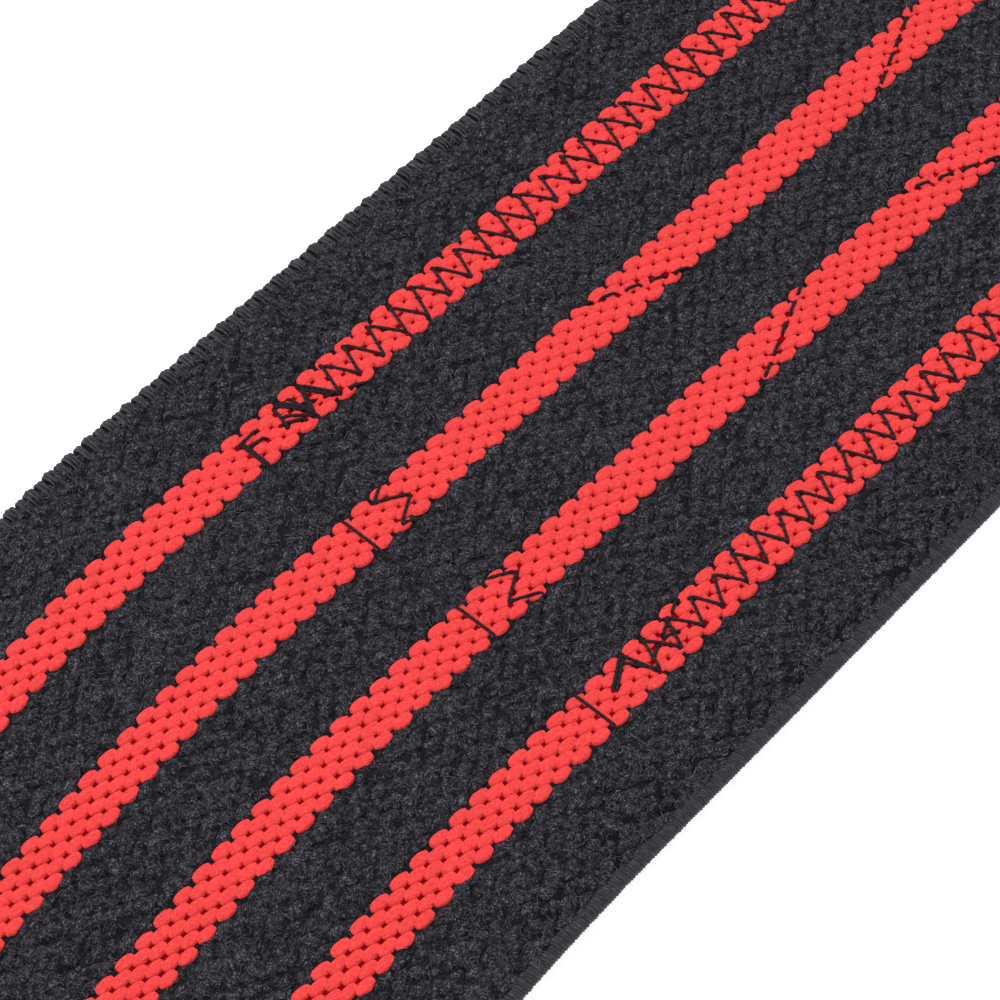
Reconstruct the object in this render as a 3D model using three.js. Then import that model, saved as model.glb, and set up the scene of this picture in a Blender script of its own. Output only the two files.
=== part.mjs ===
// Wrist wrap: an elastic web with four woven-in stripes and a strip of hook tape sewn under one end.
// It lies on a flat surface with its outer face up. The web rests on the surface at its plain end, rises over a
// short foot, bends over a shoulder where the stiffer taped part begins, and comes down to its taped end.
// Millimetres. +X runs along the web towards the taped end, +Y across it, +Z up.
import * as THREE from 'three';

// The elastic web. Its length is measured along the web from fold to fold.
const WEB_LENGTH = 300;
const WEB_WIDTH = 80;
const WEB_THICKNESS = 2.2;

// The coloured stripes, counted and placed across the web.
const STRIPE_COUNT = 4;
const STRIPE_PITCH = 16.5;
const STRIPE_WIDTH = 5.8;
const STRIPE_RISE = 0.15;

// The soft groove where two lanes of yarn meet, and the two edges of the web.
const LANE_BEVEL = 0.3;
const LOOPED_EDGE_WIDTH = 1.2;
const CORDED_EDGE_WIDTH = 1.7;

// The ends are turned under once and sewn flat.
const HEM_LENGTH = 12;
const LAYER_GAP = 0.3;

// The hook tape under the web, and its distance from the turned-under end.
const TAPE_LENGTH = 127;
const TAPE_WIDTH = 52;
const TAPE_THICKNESS = 2.2;
const TAPE_TO_HEM = 1;

// The way the web lies, as lengths along it, bend radii and the slope in degrees of the ramp below the shoulder.
// The step is where it comes down from its turned-under end to the surface.
const STEP_LENGTH = 24;
const FOOT_RADIUS = 190;
const FOOT_SLOPE = 12.5;
const RAMP_LENGTH = 3;
const SHOULDER_RADIUS = 126;
const SHOULDER_TO_TAPE = 6;
const LANDING_RADIUS = 300;
const TAIL_LENGTH = 24;

// How finely bends are divided, in degrees, and the sides of a half round edge.
const BEND_STEP = 2.5;
const FOLD_STEP = 30;
const EDGE_SIDES = 6;

const LAYER_PITCH = WEB_THICKNESS + LAYER_GAP;
const FOLD_RADIUS = LAYER_PITCH / 2;

// How far the web's underside stands off the surface over a turned-under end and over the tape.
const HEM_HEIGHT = LAYER_PITCH + STRIPE_RISE;
const TAIL_HEIGHT = Math.max(HEM_HEIGHT, TAPE_THICKNESS + LAYER_GAP);

/** Slope in radians of the taped deck, so that it comes down to the height of its turned-under end. */
function deckSlope(tapedLength) {
  const slope = THREE.MathUtils.degToRad(FOOT_SLOPE);
  const climb = FOOT_RADIUS * (1 - Math.cos(slope)) + RAMP_LENGTH * Math.sin(slope);
  let low = -slope;
  let high = slope;
  while (high - low > 1e-9) {
    const middle = (low + high) / 2;
    const shoulder = SHOULDER_RADIUS * (Math.cos(middle) - Math.cos(slope));
    const deckLength = tapedLength - LANDING_RADIUS * middle - TAIL_LENGTH;
    const drop = deckLength * Math.sin(middle) + LANDING_RADIUS * (1 - Math.cos(middle));
    if (climb + shoulder - drop > TAIL_HEIGHT) low = middle;
    else high = middle;
  }
  return (low + high) / 2;
}

/** The web's upper run from fold to fold, as rows of length along the web and turn in radians, rising positive. */
function upperRun() {
  const slope = THREE.MathUtils.degToRad(FOOT_SLOPE);
  const tapedLength = HEM_LENGTH + TAPE_TO_HEM + TAPE_LENGTH + SHOULDER_TO_TAPE;
  const descent = deckSlope(tapedLength);
  const landingLength = LANDING_RADIUS * descent;
  const deckLength = tapedLength - landingLength - TAIL_LENGTH;
  const shoulderTurn = slope + descent;
  const stepSlope = Math.asin(HEM_HEIGHT / STEP_LENGTH);
  const stepCurve = (STEP_LENGTH * stepSlope) / Math.sin(stepSlope);
  const bends = stepCurve + FOOT_RADIUS * slope + RAMP_LENGTH + SHOULDER_RADIUS * shoulderTurn;
  const floorLength = WEB_LENGTH - HEM_LENGTH - bends - tapedLength;
  return [
    { part: 'hem', length: HEM_LENGTH, turn: 0 },
    { part: 'step down', length: stepCurve / 2, turn: -2 * stepSlope },
    { part: 'step out', length: stepCurve / 2, turn: 2 * stepSlope },
    { part: 'floor', length: floorLength, turn: 0 },
    { part: 'foot', length: FOOT_RADIUS * slope, turn: slope },
    { part: 'ramp', length: RAMP_LENGTH, turn: 0 },
    { part: 'shoulder', length: SHOULDER_RADIUS * shoulderTurn, turn: -shoulderTurn },
    { part: 'deck', length: deckLength, turn: 0 },
    { part: 'landing', length: landingLength, turn: descent },
    { part: 'tail', length: TAIL_LENGTH, turn: 0 },
  ];
}

/** Adds one bend or straight to a line of stations, each a place on the web's middle layer with its slope. */
function extend(stations, length, turn, stepDegrees) {
  const start = stations[stations.length - 1];
  const steps = turn === 0 ? 1 : Math.ceil(Math.abs(THREE.MathUtils.radToDeg(turn)) / stepDegrees);
  for (let i = 1; i <= steps; i += 1) {
    const share = i / steps;
    const chord = turn === 0 ? length * share : (2 * length * Math.sin((turn * share) / 2)) / turn;
    const heading = start.slope + (turn * share) / 2;
    stations.push({
      x: start.x + chord * Math.cos(heading),
      z: start.z + chord * Math.sin(heading),
      slope: start.slope + turn * share,
      along: start.along + length * share,
    });
  }
}

/** Stations of the whole web, from the hidden cut edge at the left to the one at the right. */
function webStations() {
  const foldLength = Math.PI * FOLD_RADIUS;
  const height = STRIPE_RISE + WEB_THICKNESS / 2;
  const stations = [{ x: HEM_LENGTH, z: height, slope: Math.PI, along: -HEM_LENGTH - foldLength }];
  extend(stations, HEM_LENGTH, 0, BEND_STEP);
  extend(stations, foldLength, -Math.PI, FOLD_STEP);
  for (const stretch of upperRun()) extend(stations, stretch.length, stretch.turn, BEND_STEP);
  extend(stations, foldLength, -Math.PI, FOLD_STEP);
  extend(stations, HEM_LENGTH, 0, BEND_STEP);
  return stations;
}

/** The station at a distance along the web, between the two that enclose it. */
function stationAt(stations, along) {
  const next = stations.findIndex((station) => station.along >= along);
  const a = stations[next - 1];
  const b = stations[next];
  const share = (along - a.along) / (b.along - a.along);
  const mix = (key) => a[key] + (b[key] - a[key]) * share;
  return { x: mix('x'), z: mix('z'), slope: mix('slope'), along };
}

/** A closed body: an outline of (y, height above the middle layer) points carried along the stations. */
function sweep(outline, stations) {
  const count = outline.length;
  const positions = [];
  for (const station of stations) {
    for (const [y, height] of outline) {
      positions.push(
        station.x - height * Math.sin(station.slope),
        y,
        station.z + height * Math.cos(station.slope),
      );
    }
  }
  const index = [];
  for (let s = 0; s + 1 < stations.length; s += 1) {
    for (let i = 0; i < count; i += 1) {
      const a = s * count + i;
      const b = s * count + ((i + 1) % count);
      index.push(a, b, a + count, b, b + count, a + count);
    }
  }
  const contour = outline.map(([y, height]) => new THREE.Vector2(y, height));
  const last = (stations.length - 1) * count;
  for (const [a, b, c] of THREE.ShapeUtils.triangulateShape(contour, [])) {
    index.push(a, c, b, last + a, last + b, last + c);
  }
  const geometry = new THREE.BufferGeometry();
  geometry.setAttribute('position', new THREE.Float32BufferAttribute(positions, 3));
  geometry.setIndex(index);
  geometry.computeVertexNormals();
  return geometry;
}

/** Outline of one lane of yarn from y0 to y1, with soft upper corners and the given extra height. */
function laneOutline(y0, y1, rise) {
  const bottom = -WEB_THICKNESS / 2;
  const top = WEB_THICKNESS / 2;
  return [
    [y0, bottom],
    [y1, bottom],
    [y1, top - LANE_BEVEL / 2],
    [y1 - LANE_BEVEL, top + rise],
    [y0 + LANE_BEVEL, top + rise],
    [y0, top - LANE_BEVEL / 2],
  ];
}

/** Outline of a half round edge, flat against the lane at y0 and reaching out to y1. */
function edgeOutline(y0, y1) {
  const outline = [];
  for (let i = 0; i <= EDGE_SIDES; i += 1) {
    const angle = -Math.PI / 2 + (Math.PI * i) / EDGE_SIDES;
    outline.push([y0 + (y1 - y0) * Math.cos(angle), (WEB_THICKNESS / 2) * Math.sin(angle)]);
  }
  return y1 > y0 ? outline : outline.reverse();
}

/** The lanes and edges across the web, in order from the looped edge on the left to the corded edge. */
function webParts() {
  const stripeCentre = (i) => ((STRIPE_COUNT - 1) / 2 - i) * STRIPE_PITCH;
  const groundEdges = [WEB_WIDTH / 2 - LOOPED_EDGE_WIDTH];
  const parts = [];
  for (let i = 0; i < STRIPE_COUNT; i += 1) {
    const y0 = stripeCentre(i) - STRIPE_WIDTH / 2;
    const y1 = stripeCentre(i) + STRIPE_WIDTH / 2;
    groundEdges.push(y1, y0);
    parts.push({ name: `red_stripe_${i + 1}`, material: stripeYarn, outline: laneOutline(y0, y1, STRIPE_RISE) });
  }
  groundEdges.push(-WEB_WIDTH / 2 + CORDED_EDGE_WIDTH);
  for (let i = 0; i <= STRIPE_COUNT; i += 1) {
    const outline = laneOutline(groundEdges[2 * i + 1], groundEdges[2 * i], 0);
    parts.push({ name: `ground_lane_${i + 1}`, material: groundYarn, outline });
  }
  const looped = edgeOutline(WEB_WIDTH / 2 - LOOPED_EDGE_WIDTH, WEB_WIDTH / 2);
  const corded = edgeOutline(-WEB_WIDTH / 2 + CORDED_EDGE_WIDTH, -WEB_WIDTH / 2);
  parts.push({ name: 'selvedge_looped', material: edgeYarn, outline: looped });
  parts.push({ name: 'selvedge_corded', material: edgeYarn, outline: corded });
  return parts;
}

/** Stations of the tape's run under the web, from its near end to its end beside the hem. */
function tapeStations(stations) {
  const end = WEB_LENGTH - HEM_LENGTH - TAPE_TO_HEM;
  const start = end - TAPE_LENGTH;
  const between = stations.filter((station) => station.along > start && station.along < end);
  return [stationAt(stations, start), ...between, stationAt(stations, end)];
}

/** Outline of the tape, a plain strip one layer gap below the web. */
function tapeOutline() {
  const top = -WEB_THICKNESS / 2 - LAYER_GAP;
  const bottom = top - TAPE_THICKNESS;
  return [
    [-TAPE_WIDTH / 2, bottom],
    [TAPE_WIDTH / 2, bottom],
    [TAPE_WIDTH / 2, top],
    [-TAPE_WIDTH / 2, top],
  ];
}

/** One named piece of the wrap. */
function piece(name, geometry, material) {
  const mesh = new THREE.Mesh(geometry, material);
  mesh.name = name;
  return mesh;
}

const groundYarn = new THREE.MeshStandardMaterial({ color: 0x26262b, roughness: 0.95, metalness: 0 });
const stripeYarn = new THREE.MeshStandardMaterial({ color: 0xe8322f, roughness: 0.75, metalness: 0 });
const edgeYarn = new THREE.MeshStandardMaterial({ color: 0x2d2d33, roughness: 0.85, metalness: 0 });
const tapePlastic = new THREE.MeshStandardMaterial({ color: 0x141416, roughness: 0.6, metalness: 0 });

const stations = webStations();
const wrap = new THREE.Group();
for (const { name, material, outline } of webParts()) wrap.add(piece(name, sweep(outline, stations), material));
wrap.add(piece('hook_tape', sweep(tapeOutline(), tapeStations(stations)), tapePlastic));

// The origin is under the middle of the wrap, on the surface that it lies on.
const extent = new THREE.Box3().setFromObject(wrap);
wrap.position.x = -(extent.min.x + extent.max.x) / 2;
wrap.position.y = -(extent.min.y + extent.max.y) / 2;
wrap.position.z = -extent.min.z;

export default wrap;
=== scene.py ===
"""Wrist wrap: a woven elastic web with four coloured stripes and a strip of hook tape sewn under one end.

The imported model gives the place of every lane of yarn. This script weaves the lanes again as real floats of
yarn, one lens of yarn for each time a thread comes to the face. It adds the two edges of the web, the hook
tape with its hooks and the sewing threads, and gives each of them its finish. Lengths are in millimetres
until a mesh is made.
"""
import logging
import math
from dataclasses import dataclass, field, replace
from enum import Enum

import bpy
import numpy as np
from mathutils import Matrix, Vector


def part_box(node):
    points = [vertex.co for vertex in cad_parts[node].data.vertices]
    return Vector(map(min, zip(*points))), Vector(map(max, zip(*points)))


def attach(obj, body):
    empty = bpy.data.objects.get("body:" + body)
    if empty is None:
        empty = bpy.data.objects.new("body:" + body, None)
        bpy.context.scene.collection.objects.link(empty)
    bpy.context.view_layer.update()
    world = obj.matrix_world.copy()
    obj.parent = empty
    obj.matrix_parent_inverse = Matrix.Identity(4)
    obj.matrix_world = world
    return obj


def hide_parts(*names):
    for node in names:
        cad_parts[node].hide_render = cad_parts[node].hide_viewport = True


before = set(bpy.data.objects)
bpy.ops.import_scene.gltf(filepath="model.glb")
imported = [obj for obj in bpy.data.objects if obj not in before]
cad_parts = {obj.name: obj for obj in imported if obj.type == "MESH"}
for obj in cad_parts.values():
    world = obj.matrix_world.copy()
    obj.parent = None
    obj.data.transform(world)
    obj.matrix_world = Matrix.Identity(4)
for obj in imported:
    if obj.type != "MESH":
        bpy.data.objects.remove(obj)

LOG = logging.getLogger("wrist_wrap")
METRE = 0.001
SEED = 7
FIBRE_SEED_STEP = 3
LANE_SEED_STEP = 10
STRIPE_SEED_START = 100
SELVEDGE_SEED_START = 50
HOOK_SEED_START = 90
YARN_MAP = "yarn"
TONE = "tone"
BODY = "root"
LEAST_LENGTH = 1e-9
GOLDEN_SHARE = (math.sqrt(5) - 1) / 2
TUBE_MAP_STEP = math.e
ACROSS_AXIS = np.array([0.0, 1.0, 0.0])


class Side(Enum):
    """The two faces of the web."""

    OUTER = 1
    UNDER = -1


class Slot(Enum):
    """The material slots."""

    GROUND = "ground_yarn"
    STRIPE = "stripe_yarn"
    EDGE = "edge_yarn"
    TAPE = "hook_tape"
    THREAD = "sewing_thread"


@dataclass
class Patch:
    """Points and faces of one or many alike bodies, with the yarn map and a tone for each point."""

    points: np.ndarray
    faces: np.ndarray
    yarn_map: np.ndarray
    tone: np.ndarray
    material: int = 0
    normals: np.ndarray | None = None


def grid_faces(rows: int, columns: int, closed: bool = False) -> np.ndarray:
    """Faces of a grid of points.

    Args:
        rows: Points in the first direction.
        columns: Points in the second direction.
        closed: Whether the second direction closes on itself.

    Returns:
        The corner numbers of each face, four to a row.
    """
    last = columns if closed else columns - 1
    row, column = np.meshgrid(np.arange(rows - 1), np.arange(last), indexing="ij")
    here = row * columns + column
    beside = row * columns + (column + 1) % columns
    return np.stack([here, here + columns, beside + columns, beside], axis=-1).reshape(-1, 4)


def repeated(faces: np.ndarray, points_each: int, copies: int) -> np.ndarray:
    """Faces of many copies of one body.

    Args:
        faces: The faces of the first copy.
        points_each: How many points a copy has.
        copies: How many copies there are.

    Returns:
        The faces of all copies, in order.
    """
    shift = np.arange(copies)[:, None, None] * points_each
    return (faces[None] + shift).reshape(-1, faces.shape[1])


def make_piece(name: str, patches: list[Patch], materials: list[bpy.types.Material]) -> bpy.types.Object:
    """Makes one smooth mesh object from patches.

    Args:
        name: The object's name.
        patches: What it is made of, in millimetres.
        materials: Its materials, in the order that the patches count them.

    Returns:
        The new object, in metres.
    """
    counts = np.cumsum([0] + [len(patch.points) for patch in patches])
    points = np.concatenate([patch.points for patch in patches]) * METRE
    faces = np.concatenate([patch.faces + start for patch, start in zip(patches, counts)])
    yarn_map = np.concatenate([patch.yarn_map for patch in patches])
    tone = np.concatenate([patch.tone for patch in patches])
    mesh = bpy.data.meshes.new(name)
    mesh.vertices.add(len(points))
    mesh.vertices.foreach_set("co", points.astype(np.float32).ravel())
    mesh.loops.add(faces.size)
    mesh.loops.foreach_set("vertex_index", faces.astype(np.int32).ravel())
    mesh.polygons.add(len(faces))
    mesh.polygons.foreach_set("loop_start", np.arange(0, faces.size, faces.shape[1], dtype=np.int32))
    for material in materials:
        mesh.materials.append(material)
    slots = np.concatenate([np.full(len(patch.faces), patch.material, np.int32) for patch in patches])
    mesh.polygons.foreach_set("material_index", slots)
    mesh.polygons.foreach_set("use_smooth", np.ones(len(faces), bool))
    mesh.update(calc_edges=True)
    layer = mesh.uv_layers.new(name=YARN_MAP)
    layer.data.foreach_set("uv", yarn_map[faces.ravel()].astype(np.float32).ravel())
    mesh.attributes.new(TONE, "FLOAT", "POINT").data.foreach_set("value", tone.astype(np.float32))
    if any(patch.normals is not None for patch in patches):
        own = [
            np.zeros((len(patch.points), 3)) if patch.normals is None else patch.normals for patch in patches
        ]
        mesh.normals_split_custom_set_from_vertices(np.concatenate(own).tolist())
    piece = bpy.data.objects.new(name, mesh)
    bpy.context.scene.collection.objects.link(piece)
    return piece


def turned(places: tuple[np.ndarray, np.ndarray], angle: np.ndarray) -> tuple[np.ndarray, np.ndarray]:
    """Places turned round their origin.

    Args:
        places: Places along and across.
        angle: The angle in radians, from along towards across.

    Returns:
        The turned places along and across.
    """
    along, across = places
    cos, sin = np.cos(angle), np.sin(angle)
    return along * cos - across * sin, along * sin + across * cos


def tubes(lines: np.ndarray, up: np.ndarray, tall: np.ndarray, wide: np.ndarray, sides: int) -> Patch:
    """Tubes of oval section along many lines.

    Args:
        lines: Points of shape (tubes, points, 3).
        up: For each point the direction in which the section is tall.
        tall: Half heights of the section, of shape (tubes, points).
        wide: Half widths of the section, of shape (tubes, points).
        sides: Points round a section.

    Returns:
        The tubes as one patch, whose yarn map runs along and round them in millimetres.
    """
    count, length = lines.shape[:2]
    ahead = np.gradient(lines, axis=1)
    ahead /= np.maximum(np.linalg.norm(ahead, axis=2, keepdims=True), LEAST_LENGTH)
    upward = up - (up * ahead).sum(axis=2, keepdims=True) * ahead
    upward /= np.maximum(np.linalg.norm(upward, axis=2, keepdims=True), LEAST_LENGTH)
    aside = np.cross(upward, ahead)
    turn = np.arange(sides) * 2 * math.pi / sides
    ring = upward[:, :, None] * (np.cos(turn)[:, None] * tall[:, :, None, None])
    ring = ring + aside[:, :, None] * (np.sin(turn)[:, None] * wide[:, :, None, None])
    points = (lines[:, :, None] + ring).reshape(-1, 3)
    step = np.linalg.norm(np.diff(lines, axis=1), axis=2)
    along = np.concatenate([np.zeros((count, 1)), np.cumsum(step, axis=1)], axis=1)
    around = (turn - math.pi)[None, None] * wide[:, :, None]
    number = np.arange(count)
    along = np.repeat(along[:, :, None], sides, axis=2) + number[:, None, None] * TUBE_MAP_STEP
    yarn_map = np.stack([along, around], axis=-1).reshape(-1, 2)
    faces = repeated(grid_faces(length, sides, closed=True), length * sides, count)
    tone = np.repeat((number * GOLDEN_SHARE) % 1.0, length * sides)
    return Patch(points, faces, yarn_map, tone)


class WebRun:
    """The way the web lies, from its hidden cut edge on the left to the one on the right.

    Distances along it start at 0 where the upper run leaves the left fold.
    """

    def __init__(self, size: "WebSize") -> None:
        """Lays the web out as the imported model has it.

        Args:
            size: The sizes of the web.
        """
        self.size = size
        hem, fold = (size.hem, 0.0), (size.fold, -math.pi)
        rows = [hem, fold, *self.upper_run(), fold, hem]
        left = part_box("red_stripe_1")[0].x / METRE
        fold_reach = size.fold_radius + size.thickness / 2 + size.stripe_rise
        x = left + fold_reach + size.hem
        z = size.stripe_rise + size.thickness / 2
        slope, along = math.pi, self.first
        table = []
        for length, turn in rows:
            table.append((along, x, z, slope, turn / length))
            chord = length * float(np.sinc(turn / (2 * math.pi)))
            x += chord * math.cos(slope + turn / 2)
            z += chord * math.sin(slope + turn / 2)
            slope += turn
            along += length
        self.last = along
        self.starts, self.x, self.z, self.slope, self.curve = np.array(table).T

    @property
    def first(self) -> float:
        """Where the left cut edge is."""
        return -self.size.hem - self.size.fold

    def deck_slope(self, taped: float) -> float:
        """Slope of the taped deck, so that it comes down to its turned-under end.

        Args:
            taped: Length of the taped end of the web.

        Returns:
            The slope in radians.
        """
        size = self.size
        climb = size.foot_radius * (1 - math.cos(size.foot_slope)) + size.ramp * math.sin(size.foot_slope)
        low, high = -size.foot_slope, size.foot_slope
        while high - low > LEAST_LENGTH:
            middle = (low + high) / 2
            shoulder = size.shoulder_radius * (math.cos(middle) - math.cos(size.foot_slope))
            deck = taped - size.landing_radius * middle - size.tail
            drop = deck * math.sin(middle) + size.landing_radius * (1 - math.cos(middle))
            if climb + shoulder - drop > size.hem_height:
                low = middle
            else:
                high = middle
        return (low + high) / 2

    def upper_run(self) -> list[tuple[float, float]]:
        """The upper run as rows of length and turn, rising positive."""
        size = self.size
        taped = size.hem + size.tape_to_hem + size.tape_length + size.shoulder_to_tape
        descent = self.deck_slope(taped)
        landing = size.landing_radius * descent
        shoulder_turn = size.foot_slope + descent
        step_slope = math.asin(size.hem_height / size.step)
        step_curve = size.step * step_slope / math.sin(step_slope)
        foot = size.foot_radius * size.foot_slope
        shoulder = size.shoulder_radius * shoulder_turn
        floor = size.length - size.hem - step_curve - foot - size.ramp - shoulder - taped
        return [
            (size.hem, 0.0),
            (step_curve / 2, -2 * step_slope),
            (step_curve / 2, 2 * step_slope),
            (floor, 0.0),
            (foot, size.foot_slope),
            (size.ramp, 0.0),
            (shoulder, -shoulder_turn),
            (taped - landing - size.tail, 0.0),
            (landing, descent),
            (size.tail, 0.0),
        ]

    def part_at(self, along: np.ndarray) -> np.ndarray:
        """Numbers of the parts of the web's course that some distances along it lie in."""
        return np.clip(np.searchsorted(self.starts, along, side="right") - 1, 0, len(self.starts) - 1)

    def normal(self, along: np.ndarray) -> np.ndarray:
        """Directions out of the outer face.

        Args:
            along: Distances along the web.

        Returns:
            One direction for each, in the last axis.
        """
        part = self.part_at(along)
        slope = self.slope[part] + self.curve[part] * (along - self.starts[part])
        return np.stack([-np.sin(slope), np.zeros_like(slope), np.cos(slope)], axis=-1)

    def place(self, along: np.ndarray, across: np.ndarray, height: np.ndarray) -> np.ndarray:
        """Points on, over or under the middle layer of the web.

        Args:
            along: Distances along the web.
            across: Places across it, as y.
            height: Distances out of the middle layer, towards the outer face.

        Returns:
            The points, in the last axis.
        """
        part = self.part_at(along)
        ahead = along - self.starts[part]
        half_turn = self.curve[part] * ahead / 2
        chord = ahead * np.sinc(half_turn / math.pi)
        slope = self.slope[part] + 2 * half_turn
        x = self.x[part] + chord * np.cos(self.slope[part] + half_turn) - height * np.sin(slope)
        z = self.z[part] + chord * np.sin(self.slope[part] + half_turn) + height * np.cos(slope)
        return np.stack([x, np.broadcast_to(across, x.shape), z], axis=-1)


@dataclass(frozen=True)
class WebSize:
    """Sizes of the web and of the way it lies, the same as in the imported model."""

    length: float = 300.0
    width: float = 80.0
    thickness: float = 2.2
    stripe_count: int = 4
    stripe_pitch: float = 16.5
    stripe_width: float = 5.8
    stripe_rise: float = 0.15
    looped_edge: float = 1.2
    corded_edge: float = 1.7
    hem: float = 12.0
    layer_gap: float = 0.3
    tape_length: float = 127.0
    tape_width: float = 52.0
    tape_to_hem: float = 1.0
    step: float = 24.0
    foot_radius: float = 190.0
    foot_slope: float = math.radians(12.5)
    ramp: float = 3.0
    shoulder_radius: float = 126.0
    shoulder_to_tape: float = 6.0
    landing_radius: float = 300.0
    tail: float = 24.0

    @property
    def fold_radius(self) -> float:
        """Radius of the folds at the web's middle layer."""
        return (self.thickness + self.layer_gap) / 2

    @property
    def fold(self) -> float:
        """Length of web in a fold."""
        return math.pi * self.fold_radius

    @property
    def hem_height(self) -> float:
        """Height of the upper run's underside over a turned-under end."""
        return self.thickness + self.layer_gap + self.stripe_rise

    @property
    def tape_start(self) -> float:
        """Where the tape's near edge is along the web."""
        return self.length - self.hem - self.tape_to_hem - self.tape_length

    @property
    def tape_end(self) -> float:
        """Where the tape's far edge is along the web."""
        return self.tape_start + self.tape_length

    @property
    def stripe_centres(self) -> list[float]:
        """Places of the stripes across the web, from the looped edge on."""
        middle = (self.stripe_count - 1) / 2
        return [(middle - i) * self.stripe_pitch for i in range(self.stripe_count)]

    @property
    def lane_edges(self) -> list[tuple[float, float]]:
        """Both sides of each ground lane, from the looped edge on."""
        edges = [self.width / 2 - self.looped_edge]
        for centre in self.stripe_centres:
            edges += [centre + self.stripe_width / 2, centre - self.stripe_width / 2]
        edges.append(-self.width / 2 + self.corded_edge)
        return list(zip(edges[::2], edges[1::2]))


class Nodes:
    """A small helper that adds and links shader nodes."""

    def __init__(self, name: str) -> None:
        """Starts a material with a Principled shader.

        Args:
            name: The material's name.
        """
        self.material = bpy.data.materials.new(name)
        self.material.use_nodes = True
        self.tree = self.material.node_tree
        self.shader = self.tree.nodes["Principled BSDF"]

    def add(self, kind: str, inputs: dict | None = None, **settings: object) -> bpy.types.Node:
        """Adds a node.

        Args:
            kind: The node's type without its ShaderNode prefix.
            inputs: Values or output sockets for its input sockets, by name or number.
            settings: Its own properties.

        Returns:
            The new node.
        """
        node = self.tree.nodes.new("ShaderNode" + kind)
        for key, value in settings.items():
            setattr(node, key, value)
        for key, value in (inputs or {}).items():
            self.set(node.inputs[key], value)
        return node

    def set(self, socket: bpy.types.NodeSocket, value: object) -> None:
        """Links an output to a socket, or sets the socket's own value.

        Args:
            socket: The input socket.
            value: An output socket or a plain value.
        """
        if isinstance(value, bpy.types.NodeSocket):
            self.tree.links.new(value, socket)
        else:
            socket.default_value = value

    def yarn_noise(
        self, scale: tuple[float, float], turn: float, detail: float, warp: float
    ) -> bpy.types.NodeSocket:
        """Noise drawn out along the yarn.

        Args:
            scale: Repeats to a millimetre along and across the yarn.
            turn: Angle of the streaks to the yarn in radians.
            detail: Octaves of the noise.
            warp: How much the streaks curl.

        Returns:
            The noise value.
        """
        place = self.add("UVMap", uv_map=YARN_MAP).outputs["UV"]
        turned = self.add("Mapping", {"Vector": place, "Rotation": (0, 0, turn)})
        drawn = self.add("Mapping", {"Vector": turned.outputs[0], "Scale": (*scale, 1.0)})
        noise = {"Vector": drawn.outputs[0], "Scale": 1.0, "Detail": detail, "Distortion": warp}
        return self.add("TexNoise", noise).outputs["Fac"]

    def curls(self, size: tuple[float, float], turn: float, width: float) -> bpy.types.NodeSocket:
        """Thin curly lines, as single fibres make; where a finish colours by them they are painted highlights
        on those fibres.

        Args:
            size: Size of the curls along and across the yarn in millimetres.
            turn: Angle of the curls to the yarn in radians.
            width: Share of the surface that the lines take.

        Returns:
            A value of 1 on the lines and 0 between them.
        """
        noise = self.yarn_noise((1 / size[0], 1 / size[1]), turn, detail=1.5, warp=0.6)
        centred = self.add("Math", {0: noise, 1: 0.5}, operation="SUBTRACT").outputs[0]
        off = self.add("Math", {0: centred}, operation="ABSOLUTE").outputs[0]
        line = {"Value": off, "From Min": 0.0, "From Max": width, "To Min": 1.0, "To Max": 0.0}
        return self.add("MapRange", line).outputs[0]

    def lumps(self, size: float) -> bpy.types.NodeSocket:
        """Round uneven lumps, as bulky yarn makes.

        Args:
            size: Their width in millimetres.

        Returns:
            A value of 1 in the middle of each lump and 0 between them.
        """
        place = self.add("TexCoord").outputs["Object"]
        bend, gap, middle = 0.9, 0.85, 0.2
        scaled = self.add("VectorMath", {0: place, "Scale": 1 / (size * METRE)}, operation="SCALE").outputs[0]
        noise = self.add("TexNoise", {"Vector": scaled, "Scale": 1.3, "Detail": 1.0}).outputs["Color"]
        bending = {0: noise, 1: (bend, bend, bend), 2: scaled}
        bent = self.add("VectorMath", bending, operation="MULTIPLY_ADD").outputs[0]
        cells = self.add("TexVoronoi", {"Vector": bent, "Scale": 1.0})
        between = {"Value": cells.outputs["Distance"], "From Min": gap, "From Max": middle}
        return self.add("MapRange", between).outputs[0]

    def web_noise(self, size: float, detail: float = 1.0) -> bpy.types.NodeSocket:
        """Noise over the whole wrap.

        Args:
            size: Size of its spots in millimetres.
            detail: Octaves of the noise.

        Returns:
            The noise value.
        """
        place = self.add("TexCoord").outputs["Object"]
        noise = {"Vector": place, "Scale": 1 / (size * METRE), "Detail": detail}
        return self.add("TexNoise", noise).outputs["Fac"]

    def ramp(self, value: bpy.types.NodeSocket, stops: list[tuple[float, tuple]]) -> bpy.types.NodeSocket:
        """Colours along a value.

        Args:
            value: The value.
            stops: Rows of place and colour.

        Returns:
            The colour.
        """
        node = self.add("ValToRGB", {0: value})
        elements = node.color_ramp.elements
        while len(elements) < len(stops):
            elements.new(0.5)
        for element, (place, colour) in zip(elements, stops):
            element.position = place
            element.color = (*colour, 1.0)
        return node.outputs["Color"]

    def sum(self, first: object, second: object, share: float) -> bpy.types.NodeSocket:
        """A mix of two values.

        Args:
            first: The first value.
            second: The second value.
            share: How much of the second is in it.

        Returns:
            The mixed value.
        """
        return self.add("Mix", {0: share, 2: first, 3: second}).outputs[0]

    def tinted(self, colour: object, tint: object, share: float) -> bpy.types.NodeSocket:
        """A colour multiplied by another.

        Args:
            colour: The colour.
            tint: What it is multiplied by.
            share: How strongly.

        Returns:
            The tinted colour.
        """
        node = self.add("Mix", data_type="RGBA", blend_type="MULTIPLY")
        self.set(node.inputs[0], share)
        self.set(node.inputs[6], colour)
        self.set(node.inputs[7], tint)
        return node.outputs[2]

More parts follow.
